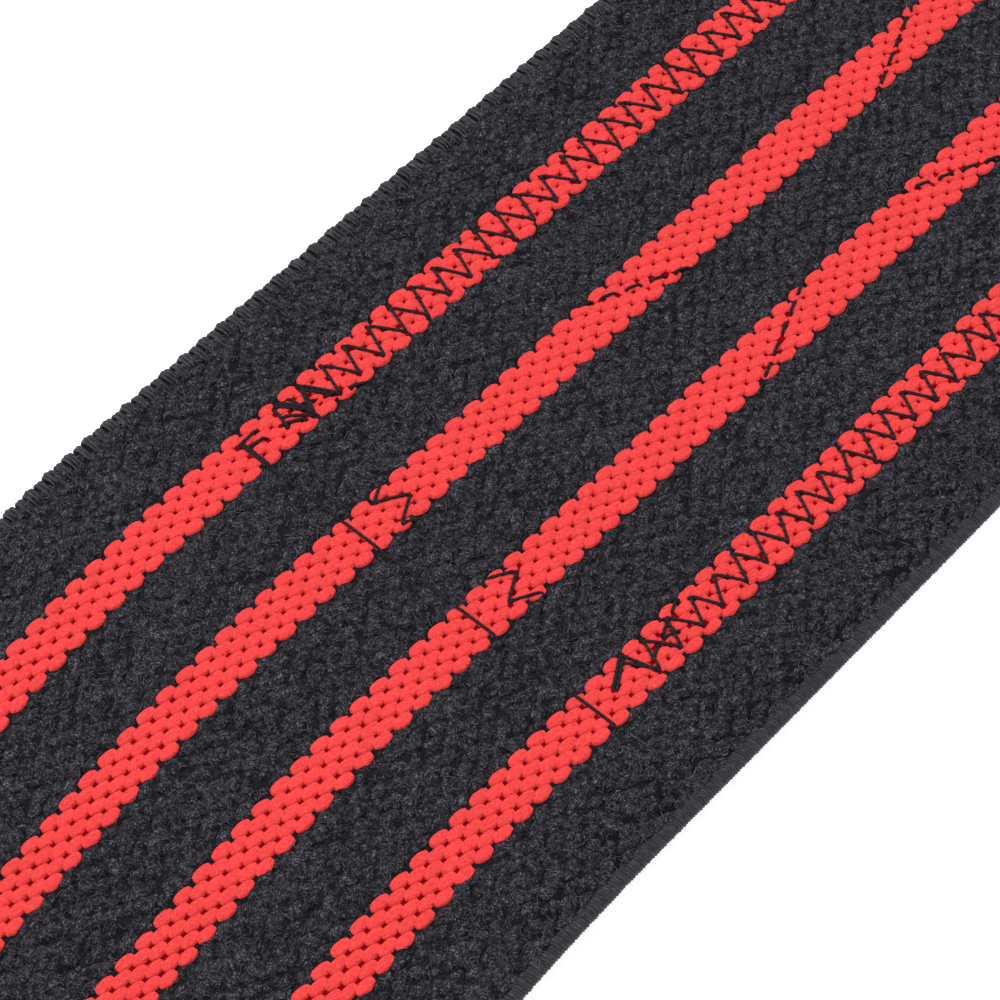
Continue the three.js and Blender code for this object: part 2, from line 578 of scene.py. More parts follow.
    def bump(self, height: bpy.types.NodeSocket, depth: float, strength: float) -> None:
        """Gives the surface a relief.

        Args:
            height: The relief from 0 to 1.
            depth: Its depth in millimetres.
            strength: How much of it shows.
        """
        node = self.add("Bump", {"Height": height, "Distance": depth * METRE, "Strength": strength})
        self.set(self.shader.inputs["Normal"], node.outputs[0])


@dataclass(frozen=True)
class CurlLayer:
    """One layer of curly fibres: the size of the curls, their angle to the yarn and the share they cover."""

    size: tuple[float, float]
    turn: float
    width: float


@dataclass(frozen=True)
class YarnFinish:
    """A yarn: its colours, from painted shade deep between fibres to painted highlight on their tops over the
    fibres' own streaks, and how its fibres lie.
    """

    name: str
    # deep, middle and light: colours over the fibre pattern, partly the yarn's own streaks and partly painted
    # shade between fibres (deep) and painted highlight on fibre tops (light)
    deep: tuple[float, float, float]
    middle: tuple[float, float, float]
    light: tuple[float, float, float]
    fibre_size: tuple[float, float]
    curl: float
    relief: float
    roughness: float
    gloss: float
    tone_spread: float
    fuzz: float = 0.0
    lump: float = 0.0
    fibre_turn: float = 0.35
    crossing_turn: float = -0.55
    crossing_share: float = 0.45
    detail: float = 3.0
    shade_places: tuple[float, float, float] = (0.34, 0.5, 0.68)
    # Curly lines that are painted as highlights on single fibres and also raise the relief.
    curls: tuple[CurlLayer, CurlLayer] = (
        CurlLayer(size=(0.55, 0.3), turn=0.5, width=0.07),
        CurlLayer(size=(0.4, 0.25), turn=-0.7, width=0.09),
    )
    # Grey levels from between the lumps to their middles: painted shade in the gaps between lumps.
    painted_gap_shade: tuple[tuple[float, float], ...] = ((0.0, 0.25), (0.45, 0.8), (0.9, 1.0))
    tint_size: float = 3.0
    tint_share: float = 0.6
    tint_places: tuple[float, float] = (0.35, 0.65)
    tints: tuple[tuple[float, float, float], ...] = ((1.0, 0.93, 1.0), (0.94, 1.0, 0.97))

    def material(self) -> bpy.types.Material:
        """The finish as a material."""
        nodes = Nodes(self.name)
        scale = (1 / self.fibre_size[0], 1 / self.fibre_size[1])
        fibres = nodes.yarn_noise(scale, self.fibre_turn, self.detail, self.curl)
        crossing = nodes.yarn_noise(scale, self.crossing_turn, self.detail, self.curl)
        both = nodes.sum(fibres, crossing, self.crossing_share)
        if self.fuzz:
            # The curls lift the colour to the light end: painted highlights on single fibres, and part of the
            # relief.
            first, second = (nodes.curls(layer.size, layer.turn, layer.width) for layer in self.curls)
            both = nodes.sum(both, nodes.sum(first, second, 0.5), self.fuzz)
        # Painted shade between fibres and painted highlight on their tops, laid over the fibres' own streaks.
        colour = nodes.ramp(both, list(zip(self.shade_places, (self.deep, self.middle, self.light))))
        tone = nodes.add("Attribute", attribute_name=TONE).outputs["Fac"]
        darkest = 1 - self.tone_spread
        shade = nodes.ramp(tone, [(0.0, (darkest, darkest, darkest)), (1.0, (1.0, 1.0, 1.0))])
        colour = nodes.tinted(colour, shade, 1.0)
        relief = both
        if self.lump:
            lumps = nodes.lumps(self.lump)
            # Darkens the colour between the lumps: painted shade in the gaps.
            gap_shade_stops = [(place, (grey, grey, grey)) for place, grey in self.painted_gap_shade]
            colour = nodes.tinted(colour, nodes.ramp(lumps, gap_shade_stops), 1.0)
            relief = nodes.sum(both, lumps, 0.5)
        spots = nodes.web_noise(self.tint_size, 2.0)
        tint = nodes.ramp(spots, list(zip(self.tint_places, self.tints)))
        nodes.set(nodes.shader.inputs["Base Color"], nodes.tinted(colour, tint, self.tint_share))
        nodes.shader.inputs["Roughness"].default_value = self.roughness
        nodes.shader.inputs["Specular IOR Level"].default_value = self.gloss
        nodes.bump(relief, self.relief, 1.0)
        return nodes.material


GROUND_YARN = YarnFinish(
    name="ground_yarn",
    deep=(0.01, 0.009, 0.012),
    middle=(0.048, 0.045, 0.056),
    light=(0.185, 0.181, 0.212),
    fibre_size=(0.55, 0.13),
    curl=0.55,
    relief=0.4,
    roughness=0.8,
    gloss=0.1,
    tone_spread=0.2,
    fuzz=0.38,
    lump=0.85,
)
# A lighter copy of the ground yarn for the loose fibres: painted highlight on them.
GROUND_FIBRE_HIGHLIT = YarnFinish(
    name="ground_fibre_highlit",
    deep=(0.04, 0.038, 0.046),
    middle=(0.08, 0.078, 0.09),
    light=(0.16, 0.156, 0.18),
    fibre_size=(0.4, 0.1),
    curl=0.2,
    relief=0.02,
    roughness=0.5,
    gloss=0.3,
    tone_spread=0.6,
)
STRIPE_YARN = YarnFinish(
    name="stripe_yarn",
    deep=(0.52, 0.022, 0.022),
    middle=(0.7, 0.049, 0.048),
    light=(0.8, 0.084, 0.082),
    fibre_size=(0.6, 0.1),
    curl=0.3,
    relief=0.12,
    roughness=0.8,
    gloss=0.08,
    tone_spread=0.08,
)
EDGE_YARN = YarnFinish(
    name="edge_yarn",
    deep=(0.009, 0.009, 0.011),
    middle=(0.036, 0.036, 0.042),
    light=(0.14, 0.138, 0.158),
    fibre_size=(0.9, 0.09),
    curl=0.25,
    relief=0.15,
    roughness=0.6,
    gloss=0.15,
    tone_spread=0.3,
)
# Colours of the web's core, darkened as painted shade for the deep holes between the floats.
GROUND_CORE_SHADE = YarnFinish(
    name="ground_core_shade",
    deep=(0.004, 0.004, 0.005),
    middle=(0.011, 0.011, 0.013),
    light=(0.025, 0.025, 0.029),
    fibre_size=(0.5, 0.15),
    curl=0.5,
    relief=0.05,
    roughness=0.95,
    gloss=0.0,
    tone_spread=0.0,
)
# The stripes' core: dark red, painted shade for the holes between the red floats.
STRIPE_CORE_SHADE = replace(
    GROUND_CORE_SHADE,
    name="stripe_core_shade",
    deep=(0.12, 0.0, 0.003),
    middle=(0.18, 0.001, 0.004),
    light=(0.24, 0.002, 0.006),
)
TAPE_CLOTH = YarnFinish(
    name="tape_cloth",
    deep=(0.004, 0.004, 0.004),
    middle=(0.011, 0.011, 0.012),
    light=(0.026, 0.026, 0.028),
    fibre_size=(0.6, 0.2),
    curl=0.1,
    relief=0.1,
    roughness=0.7,
    gloss=0.2,
    tone_spread=0.0,
)


@dataclass(frozen=True)
class ThreadFinish:
    """Sewing thread: two plies twisted together."""

    name: str = "sewing_thread"
    shade: tuple[float, float, float] = (0.006, 0.005, 0.006)
    light: tuple[float, float, float] = (0.026, 0.023, 0.028)
    twist: float = 0.55
    twist_angle: float = math.radians(38)
    band_scale: float = 0.314
    relief: float = 0.12
    roughness: float = 0.6
    gloss: float = 0.12
    fibre_scale: tuple[float, float] = (1.5, 12.0)
    fibre_share: float = 0.3

    def material(self) -> bpy.types.Material:
        """The finish as a material."""
        nodes = Nodes(self.name)
        place = nodes.add("UVMap", uv_map=YARN_MAP).outputs["UV"]
        turned = nodes.add("Mapping", {"Vector": place, "Rotation": (0, 0, self.twist_angle)})
        bands = {"Vector": turned.outputs[0], "Scale": self.band_scale / self.twist, "Distortion": 0.4}
        plies = nodes.add("TexWave", bands)
        fibres = nodes.yarn_noise(self.fibre_scale, turn=0.4, detail=2.0, warp=0.2)
        both = nodes.sum(plies.outputs["Fac"], fibres, self.fibre_share)
        colour = nodes.ramp(both, [(0.25, self.shade), (0.85, self.light)])
        nodes.set(nodes.shader.inputs["Base Color"], colour)
        nodes.shader.inputs["Roughness"].default_value = self.roughness
        nodes.shader.inputs["Specular IOR Level"].default_value = self.gloss
        nodes.bump(both, self.relief, strength=0.8)
        return nodes.material


@dataclass(frozen=True)
class HookFinish:
    """Moulded hooks: dark smooth filament with a soft gloss."""

    name: str = "hook_filament"
    shade: tuple[float, float, float] = (0.008, 0.008, 0.009)
    light: tuple[float, float, float] = (0.02, 0.02, 0.022)
    relief: float = 0.02
    roughness: float = 0.4
    streak_scale: tuple[float, float] = (1.2, 6.0)

    def material(self) -> bpy.types.Material:
        """The finish as a material."""
        nodes = Nodes(self.name)
        noise = nodes.yarn_noise(self.streak_scale, turn=0.0, detail=2.0, warp=0.1)
        colour = nodes.ramp(noise, [(0.3, self.shade), (0.7, self.light)])
        nodes.set(nodes.shader.inputs["Base Color"], colour)
        nodes.shader.inputs["Roughness"].default_value = self.roughness
        nodes.bump(noise, self.relief, strength=0.5)
        return nodes.material


@dataclass(frozen=True)
class FloorFinish:
    """A plain pale floor with the faintest mottling."""

    name: str = "pale_floor"
    shade: tuple[float, float, float] = (0.9, 0.9, 0.9)
    light: tuple[float, float, float] = (0.94, 0.94, 0.94)
    glow: float = 0.6
    spot_size: float = 60.0
    roughness: float = 0.9

    def material(self) -> bpy.types.Material:
        """The finish as a material, lit a little from below like a light table."""
        nodes = Nodes(self.name)
        colour = nodes.ramp(nodes.web_noise(self.spot_size, 2.0), [(0.3, self.shade), (0.7, self.light)])
        nodes.set(nodes.shader.inputs["Base Color"], colour)
        nodes.shader.inputs["Roughness"].default_value = self.roughness
        nodes.shader.inputs["Emission Color"].default_value = (1.0, 1.0, 1.0, 1.0)
        nodes.shader.inputs["Emission Strength"].default_value = self.glow
        return nodes.material


@dataclass(frozen=True)
class Stitch:
    """One stitch on a face, as distance from the tape's near edge and place across at both of its holes."""

    from_tape: float
    across: float
    to_tape: float
    to_across: float
    lift: float = 0.0


@dataclass
class Sewing:
    """All seams: where each stitch enters and leaves the web, and how deep the thread pulls the yarn in."""

    size: WebSize
    thread_radius: float = 0.19
    pull: float = 0.42
    end_pull: float = 1.0
    ground_share: float = 0.35
    seam_lift: float = 0.17
    pull_reach: float = 0.5
    pull_samples: int = 24
    pull_cutoff: float = 2.5
    end_sharpness: int = 6
    cell: float = 0.1
    cross_seam_at: float = 1.5
    cross_seam_end: float = 26.2
    past_stripe: float = 0.3
    ground_stitch: float = 5.3
    stripe_stitch: float = 6.4
    diagonal_stitch: float = 3.0
    diagonal_gap: float = 0.4
    hem_stitch: float = 2.8
    hem_gap: float = 0.1
    cross_zigzag_span: tuple[float, float] = (21.3, -21.0)
    zigzag_stop: float = 2.5
    zigzag_wander: tuple[float, float] = (0.16, 0.13)
    cross_wander: tuple[float, float] = (0.15, 0.12)
    seam_wander: float = 0.15
    hem_seam_margin: float = 2.0
    stripe_margin: float = 0.2
    soft_change: float = 0.6
    stitches: list[Stitch] = field(default_factory=list)

    def __post_init__(self) -> None:
        """Lays every seam out and works out how far the yarn is pulled in."""
        rng = np.random.default_rng(SEED)
        tape_length, tape_start = self.size.tape_length, self.size.tape_start
        self.cross_seam()
        self.edge_zigzag(start=11.5, high=27.0, low=22.9, pitch=3.6, lean=0.3, rng=rng)
        self.edge_zigzag(start=7.9, high=-22.8, low=-26.4, pitch=3.55, lean=-0.1, rng=rng)
        self.back_tack()
        self.cross_zigzag(centre=7.25, reach=1.6, step=1.9, rng=rng)
        self.cross_zigzag(centre=tape_length - 3.0, reach=1.6, step=1.9, rng=rng)
        self.diagonal(start=(9.6, 25.0), end=(118.5, -25.0), rng=rng)
        self.diagonal(start=(10.3, -25.0), end=(tape_length - 1.0, 22.0), rng=rng)
        self.hem_seam(at=self.size.length - tape_start - 6.0, rng=rng)
        self.hem_seam(at=-tape_start + 8.0, rng=rng)
        self.depth = self.pulled_in()

    def row(
        self,
        start: tuple[float, float],
        end: tuple[float, float],
        length: float,
        gap: float,
        lift: float = 0.0,
    ) -> None:
        """A row of straight stitches between two points.

        Args:
            start: The first hole, as distance from the tape's edge and place across.
            end: The last hole.
            length: The wanted length of a stitch.
            gap: The share of a stitch that lies on the other face.
            lift: How far the stitches lie above the others.
        """
        start_at, end_at = np.array(start), np.array(end)
        count = max(1, round(float(np.linalg.norm(end_at - start_at)) / length))
        for i in range(count):
            hole = start_at + (end_at - start_at) * i / count
            next_hole = start_at + (end_at - start_at) * (i + 1 - gap) / count
            self.stitches.append(Stitch(*hole.tolist(), *next_hole.tolist(), lift))

    def cross_seam(self) -> None:
        """The straight seam across the web just past the tape's near edge, with its hooked end."""
        at, last = self.cross_seam_at, self.cross_seam_end
        for centre in self.size.stripe_centres:
            high = min(centre + self.size.stripe_width / 2 + self.past_stripe, self.cross_seam_end)
            low = centre - self.size.stripe_width / 2 - self.past_stripe
            if last > high:
                self.row((at, last), (at, high), self.ground_stitch, gap=0.0, lift=self.seam_lift)
            self.row((at, high), (at, low), self.stripe_stitch, gap=0.0)
            last = low
        hooked_end = [(1.2, 26.1, 4.2, 26.2), (1.9, 25.2, 4.1, 24.8), (1.8, 26.0, 1.7, 21.7)]
        self.stitches += [Stitch(*holes) for holes in hooked_end]

    def edge_zigzag(
        self, start: float, high: float, low: float, pitch: float, lean: float, rng: np.random.Generator
    ) -> None:
        """A zigzag row along one edge of the tape.

        Args:
            start: Where it starts, from the tape's near edge.
            high: Place across of its vertices towards the looped edge.
            low: Place across of the others.
            pitch: Length of one zigzag.
            lean: How far the lower vertices lie past the middle between the upper ones.
            rng: Source of the small unevenness.
        """
        end = self.size.tape_length - self.zigzag_stop
        count = int((end - start) / (pitch / 2))
        number = np.arange(count + 1)
        lower = number % 2 == 1
        at = start + number * pitch / 2 + lean * lower + rng.normal(0, self.zigzag_wander[0], count + 1)
        across = np.where(lower, low, high) + rng.normal(0, self.zigzag_wander[1], count + 1)
        self.zigzag(at, across)

    def zigzag(self, at: np.ndarray, across: np.ndarray) -> None:
        """A row of stitches from each vertex to the next.

        Args:
            at: Distances of the vertices from the tape's near edge.
            across: Their places across.
        """
        for i in range(len(at) - 1):
            self.stitches.append(Stitch(at[i], across[i], at[i + 1], across[i + 1]))

    def back_tack(self) -> None:
        """The crowded stitches where the edge zigzags start and end."""
        crowd = [
            (11.2, 26.3, 13.0, 23.4),
            (11.6, 26.8, 9.9, 23.0),
            (11.3, 26.6, 9.7, 23.2),
            (8.0, 27.1, 9.8, 24.4),
            (8.3, 26.9, 10.0, 24.0),
            (7.7, 26.9, 9.5, 24.2),
            (9.4, 26.7, 9.7, 23.2),
            (9.6, 24.6, 9.9, 22.9),
            (7.2, 25.4, 9.7, 22.9),
            (7.3, 26.7, 6.6, 23.9),
            (6.4, 24.7, 8.7, 23.3),
            (4.7, -24.3, 8.3, -22.2),
            (5.0, -24.6, 8.4, -22.5),
            (8.3, -22.2, 9.4, -26.3),
            (12.9, -24.2, 14.6, -24.8),
        ]
        self.stitches += [Stitch(*holes) for holes in crowd]

    def cross_zigzag(self, centre: float, reach: float, step: float, rng: np.random.Generator) -> None:
        """A zigzag row across the tape.

        Args:
            centre: Its middle, from the tape's near edge.
            reach: Half of its width along the web.
            step: Distance across from one vertex to the next.
            rng: Source of the small unevenness.
        """
        across = np.arange(*self.cross_zigzag_span, -step)
        count = len(across)
        swing = np.where(np.arange(count) % 2 == 0, -reach, reach)
        at = centre + swing + rng.normal(0, self.cross_wander[0], count)
        self.zigzag(at, across + rng.normal(0, self.cross_wander[1], count))

    def diagonal(
        self, start: tuple[float, float], end: tuple[float, float], rng: np.random.Generator
    ) -> None:
        """One row of the cross that is sewn corner to corner over the tape.

        Args:
            start: Its first hole.
            end: Its last hole.
            rng: Source of the small unevenness.
        """
        bend = rng.normal(0, self.seam_wander)
        middle = ((start[0] + end[0]) / 2, (start[1] + end[1]) / 2 + bend)
        self.row(start, middle, self.diagonal_stitch, self.diagonal_gap)
        self.row(middle, end, self.diagonal_stitch, self.diagonal_gap)

    def hem_seam(self, at: float, rng: np.random.Generator) -> None:
        """A plain seam that holds a turned-under end.

        Args:
            at: Its distance from the tape's near edge.
            rng: Source of the small unevenness.
        """
        half = self.size.width / 2 - self.hem_seam_margin
        lean = rng.normal(0, self.seam_wander)
        self.row((at - lean, half), (at + lean, -half), self.hem_stitch, self.hem_gap)

    def lines(self, samples: int) -> np.ndarray:
        """Points along every stitch, as distance along the web and place across.

        Args:
            samples: Points to a stitch.

        Returns:
            An array of shape (stitches, samples, 2).
        """
        near = self.size.tape_start
        start = np.array([(stitch.from_tape + near, stitch.across) for stitch in self.stitches])
        end = np.array([(stitch.to_tape + near, stitch.to_across) for stitch in self.stitches])
        share = np.linspace(0, 1, samples)[None, :, None]
        return start[:, None] + (end - start)[:, None] * share

    def pulled_in(self) -> np.ndarray:
        """How far the threads pull the outer yarn in, in square cells over the upper run.

        Returns:
            The shares of the full pull: 1 along a stitch and more at its two ends.
        """
        rows = int(self.size.length / self.cell) + 1
        columns = int(self.size.width / self.cell) + 1
        depth = np.zeros((rows, columns))
        reach = int(self.pull_cutoff * self.pull_reach / self.cell)
        near = np.arange(-reach, reach + 1)
        points = self.lines(self.pull_samples)
        from_middle = np.abs(np.linspace(-1, 1, self.pull_samples))
        one_stitch = 1 + self.end_pull * from_middle**self.end_sharpness
        strengths = np.broadcast_to(one_stitch, points.shape[:2]).ravel()
        for (along, across), strength in zip(points.reshape(-1, 2), strengths):
            row = int(round(along / self.cell))
            column = int(round((across + self.size.width / 2) / self.cell))
            rows_here = np.clip(row + near, 0, rows - 1)
            columns_here = np.clip(column + near, 0, columns - 1)
            off_along = rows_here * self.cell - along
            off_across = columns_here * self.cell - self.size.width / 2 - across
            off = off_along[:, None] ** 2 + off_across[None] ** 2
            stamp = strength * np.exp(-off / self.pull_reach**2)
            here = np.ix_(rows_here, columns_here)
            depth[here] = np.maximum(depth[here], stamp)
        return depth

    def pull_at(self, along: np.ndarray, across: np.ndarray) -> np.ndarray:
        """How far the yarn is pulled in at some places.

        Args:
            along: Distances along the web.
            across: Places across it.

        Returns:
            The depths in millimetres.
        """
        rows, columns = self.depth.shape
        row = np.clip((along / self.cell).round().astype(int), 0, rows - 1)
        column = np.clip(((across + self.size.width / 2) / self.cell).round().astype(int), 0, columns - 1)
        inside = (along > 0) & (along < self.size.length)
        share = self.ground_share + (1 - self.ground_share) * self.on_stripe(across)
        return self.pull * share * self.depth[row, column] * inside

    def on_stripe(self, across: np.ndarray) -> np.ndarray:
        """How much of a place lies on a stripe.

        Args:
            across: Places across the web.

        Returns:
            1 on a stripe and 0 on the ground, with a soft change.
        """
        off = np.min([np.abs(across - centre) for centre in self.size.stripe_centres], axis=0)
        return np.clip((self.size.stripe_width / 2 + self.stripe_margin - off) / self.soft_change, 0, 1)


@dataclass(frozen=True)
class FloatShape:
    """The lens that a yarn makes where it floats on a face between the places where it dives in."""

    half_length: float
    half_width: float
    crest: float
    root: float
    along_steps: int
    across_steps: int
    bluntness: float = 2.6
    flatness: float = 3.0
    tip: float = 0.2
    shoulders: tuple[float, float] | None = None
    sag: float = 0.055
    top_lean: float = 0.3
    rim_lean: float = 3.0
    rim: float = 0.999

    def places(self, steps: int, shoulder: float | None) -> np.ndarray:
        """Places of the grid's lines from -1 to 1.

        Args:
            steps: Grid steps.
            shoulder: Where a flat top ends, or None for a round one.

        Returns:
            The places, closer together where the surface turns.
        """
        if shoulder is None:
            return np.sin(np.linspace(-1, 1, steps + 1) * math.pi / 2)
        return np.concatenate([[-1.0], np.linspace(-shoulder, shoulder, steps - 1), [1.0]])

    def grid(self) -> tuple[np.ndarray, np.ndarray]:
        """The grid's places along and across, from -1 to 1."""
        ends, sides = self.shoulders or (None, None)
        along, across = self.places(self.along_steps, ends), self.places(self.across_steps, sides)
        return np.meshgrid(along, across, indexing="ij")

    def rise(self, place: np.ndarray, shoulder: float | None) -> np.ndarray:
        """Height of the section at some places, from 0 at its sides to 1.

        Args:
            place: The places from -1 to 1.
            shoulder: Where a flat top ends, or None for a round one.

        Returns:
            The heights.
        """
        if shoulder is None:
            return np.sqrt(np.maximum(1 - np.abs(place) ** self.flatness, 0))
        return np.where(np.abs(place) < self.rim, 1 - self.sag * (place / shoulder) ** 2, 0.0)

    def leans(self) -> tuple[np.ndarray, np.ndarray] | None:
        """How far the surface of a flat-topped lens faces outwards, along and across.

        Returns:
            Both leans for each point, or None for a round lens.
        """
        if self.shoulders is None:
            return None
        leans = []
        for place, shoulder in zip(self.grid(), self.shoulders):
            on_top = self.top_lean * np.abs(place / shoulder) ** 2
            leans.append(np.sign(place) * np.where(np.abs(place) < self.rim, on_top, self.rim_lean))
        return leans[0].ravel(), leans[1].ravel()

    def template(self) -> tuple[np.ndarray, np.ndarray, np.ndarray]:
        """The lens on its own.

        Returns:
            Places along and across in millimetres, and the height from 0 at the root to 1 at the crest.
        """
        along, across = self.grid()
        ends, sides = self.shoulders or (None, None)
        width = np.maximum(np.sqrt(np.maximum(1 - np.abs(along) ** self.bluntness, 0)), self.tip)
        height = self.rise(along, ends) * self.rise(across, sides)
        return along * self.half_length, across * width * self.half_width, height


@dataclass(frozen=True)
class Unevenness:
    """How much the floats of a yarn differ from each other."""

    shift: float
    turn: float
    size: float
    height: float
    lean: float
    fibre_turn: float
    roughness: float


@dataclass
class Weave:
    """The lattice of floats: where each yarn comes to the face."""

    run: WebRun
    sewing: Sewing
    period: float = 2.95
    phase: float = 1.7
    columns_in_stripe: int = 6
    columns_in_lane: int = 10
    under_offset: float = 0.25
    hidden_margin: float = 2.5
    hidden_hem_share: float = 0.8
    crest_margin: float = 0.03
    map_spread: float = 60.0

    def centres(self, high: float, low: float, columns: int, side: Side) -> tuple[np.ndarray, np.ndarray]:
        """Centres of the floats of a lane.

        Args:
            high: The lane's side towards the looped edge.
            low: Its other side.
            columns: How many yarns lie side by side in it.
            side: The face.

        Returns:
            Distances along the web and places across it.
        """
        pitch = (high - low) / columns
        first = math.ceil((self.run.first - self.phase) / self.period) + 1
        last = math.floor((self.run.last - self.phase) / self.period) - 1
        number, column = np.meshgrid(np.arange(first, last), np.arange(columns), indexing="ij")
        offset = (column % 2) * 0.5 + (self.under_offset if side is Side.UNDER else 0.0)
        along = self.phase + (number + offset) * self.period
        across = high - (column + 0.5) * pitch
        return along.ravel(), across.ravel()

    def hidden(self, along: np.ndarray, across: np.ndarray) -> np.ndarray:
        """Which floats of the under face lie between two layers, where nothing shows.

        Args:
            along: Distances along the web.
            across: Places across it.

        Returns:
            True for each that is covered.
        """
        size = self.run.size
        covered = self.hidden_hem_share * size.hem
        margin = self.hidden_margin
        on_tape = (along > size.tape_start + margin) & (along < size.tape_end - margin)
        under_tape = on_tape & (np.abs(across) < size.tape_width / 2 - margin)
        return under_tape | (along < covered) | (along > size.length - covered)

    def floats(
        self,
        centres: tuple[np.ndarray, np.ndarray],
        shape: FloatShape,
        uneven: Unevenness,
        side: Side,
        seed: int,
    ) -> Patch:
        """The floats of one lane on one face.

        Args:
            centres: Where they are.
            shape: The lens of one float.
            uneven: How much they differ.
            side: The face.
            seed: Seed of their differences.

        Returns:
            All of them as one patch.
        """
        rng = np.random.default_rng(seed)
        along, across = centres
        if side is Side.UNDER:
            keep = ~self.hidden(along, across)
            along, across = along[keep], across[keep]
        count = len(along)
        local_along, local_across, height = (part.ravel() for part in shape.template())
        grow = 1 + rng.normal(0, uneven.size, (count, 1))
        turn = uneven.lean + rng.normal(0, uneven.turn, (count, 1))
        lift = 1 + rng.normal(0, uneven.height, (count, 1))
        lens = (local_along[None] * grow, local_across[None] * grow)
        lens_along, lens_across = turned(lens, turn)
        u = along[:, None] + rng.normal(0, uneven.shift, (count, 1)) + lens_along
        y = across[:, None] + rng.normal(0, uneven.shift, (count, 1)) + lens_across
        u = np.clip(u + rng.normal(0, uneven.roughness, u.shape), self.run.first, self.run.last)
        y = y + rng.normal(0, uneven.roughness, y.shape)
        level = shape.root + (shape.crest - shape.root) * height[None] * lift
        level = np.minimum(level + rng.normal(0, uneven.roughness, u.shape), shape.crest + self.crest_margin)
        if side is Side.OUTER:
            level = level - self.sewing.pull_at(u, y)
        points = self.run.place(u, y, side.value * level).reshape(-1, 3)
        normals = self.facing(u, turn, shape, side)
        fibre = rng.normal(0, uneven.fibre_turn, (count, 1))
        start = rng.uniform(0, self.map_spread, (2, count, 1))
        map_along, map_across = turned(lens, fibre)
        yarn_map = np.stack([start[0] + map_along, start[1] + map_across], axis=-1).reshape(-1, 2)
        faces = grid_faces(shape.along_steps + 1, shape.across_steps + 1)
        if side is Side.UNDER:
            faces = faces[:, ::-1]
        faces = repeated(faces, len(local_along), count)
        tone = np.repeat(rng.uniform(0, 1, count), len(local_along))
        return Patch(points, faces, yarn_map, tone, normals=normals)

    def facing(self, u: np.ndarray, turn: np.ndarray, shape: FloatShape, side: Side) -> np.ndarray | None:
        """Directions in which the points of flat-topped floats face.

        Args:
            u: Distances of the points along the web, a row for each float.
            turn: Turn of each float.
            shape: The lens of one float.
            side: The face.

        Returns:
            A direction for each point, or None for round floats.
        """
        leans = shape.leans()
        if leans is None:
            return None
        up = self.run.normal(u)
        ahead = np.stack([up[..., 2], np.zeros(u.shape), -up[..., 0]], axis=-1)
        cos, sin = np.cos(turn)[..., None], np.sin(turn)[..., None]
        along_lean, across_lean = (lean[None, :, None] for lean in leans)
        facing = up * side.value
        facing = facing + along_lean * (cos * ahead + sin * ACROSS_AXIS)
        facing = facing + across_lean * (cos * ACROSS_AXIS - sin * ahead)
        return (facing / np.linalg.norm(facing, axis=-1, keepdims=True)).reshape(-1, 3)


@dataclass(frozen=True)
class Fibres:
    """Short curled fibres that stand out of the bulky yarn of a lane's outer face."""

    run: WebRun
    sewing: Sewing
    per_float: float = 2.0
    reach: float = 0.75
    radius: float = 0.045
    height: float = 1.06
    rise: float = 0.16
    points_each: int = 4
    sides: int = 3
    spread: tuple[float, float] = (1.4, 0.6)
    curl: float = 1.6
    length_range: tuple[float, float] = (0.6, 1.5)
    arch_range: tuple[float, float] = (0.3, 1.0)
    sunk_ends: float = 0.35

    def patch(self, centres: tuple[np.ndarray, np.ndarray], seed: int) -> Patch:
        """The fibres of one lane.

        Args:
            centres: Places of the lane's floats, along and across.
            seed: Seed of the fibres' places and curls.

        Returns:
            All of them as one patch with the second material.
        """
        rng = np.random.default_rng(seed)
        count = int(len(centres[0]) * self.per_float)
        near = rng.integers(0, len(centres[0]), count)
        start_u = centres[0][near] + rng.uniform(-self.spread[0], self.spread[0], count)
        start_y = centres[1][near] + rng.uniform(-self.spread[1], self.spread[1], count)
        heading = rng.uniform(0, 2 * math.pi, count)
        curl = rng.normal(0, self.curl, count)
        length = self.reach * rng.uniform(*self.length_range, count)
        share = np.linspace(0, 1, self.points_each)[None]
        angle = heading[:, None] + curl[:, None] * share
        step = length[:, None] / (self.points_each - 1)
        u = start_u[:, None] + np.cumsum(np.cos(angle) * step, axis=1)
        y = start_y[:, None] + np.cumsum(np.sin(angle) * step, axis=1)
        u = np.clip(u, self.run.first, self.run.last)
        arch = np.sin(share * math.pi) * rng.uniform(*self.arch_range, (count, 1))
        level = self.height + self.rise * (arch - self.sunk_ends) - self.sewing.pull_at(u, y)
        lines = self.run.place(u, y, level)
        radius = np.full(u.shape, self.radius)
        patch = tubes(lines, self.run.normal(u), radius, radius, self.sides)
        patch.material = 1
        return patch


@dataclass
class Lane:
    """One lane of the web, woven on both faces."""

    name: str
    node: str
    slot: Slot
    weave: Weave
    high: float
    low: float
    columns: int
    outer: FloatShape
    under: FloatShape
    uneven: Unevenness
    finishes: list[bpy.types.Material]
    seed: int
    fibres: Fibres | None = None

    def build(self) -> bpy.types.Object:
        """Weaves the lane and puts it in the place of its node."""
        patches = []
        for side, shape in ((Side.OUTER, self.outer), (Side.UNDER, self.under)):
            centres = self.weave.centres(self.high, self.low, self.columns, side)
            patches.append(self.weave.floats(centres, shape, self.uneven, side, self.seed + side.value))
        if self.fibres:
            outer = self.weave.centres(self.high, self.low, self.columns, Side.OUTER)
            patches.append(self.fibres.patch(outer, self.seed + FIBRE_SEED_STEP))
        piece = make_piece(self.name, patches, self.finishes)
        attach(piece, BODY)
        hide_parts(self.node)
        LOG.info("%s: %d faces", self.name, len(piece.data.polygons))
        return piece


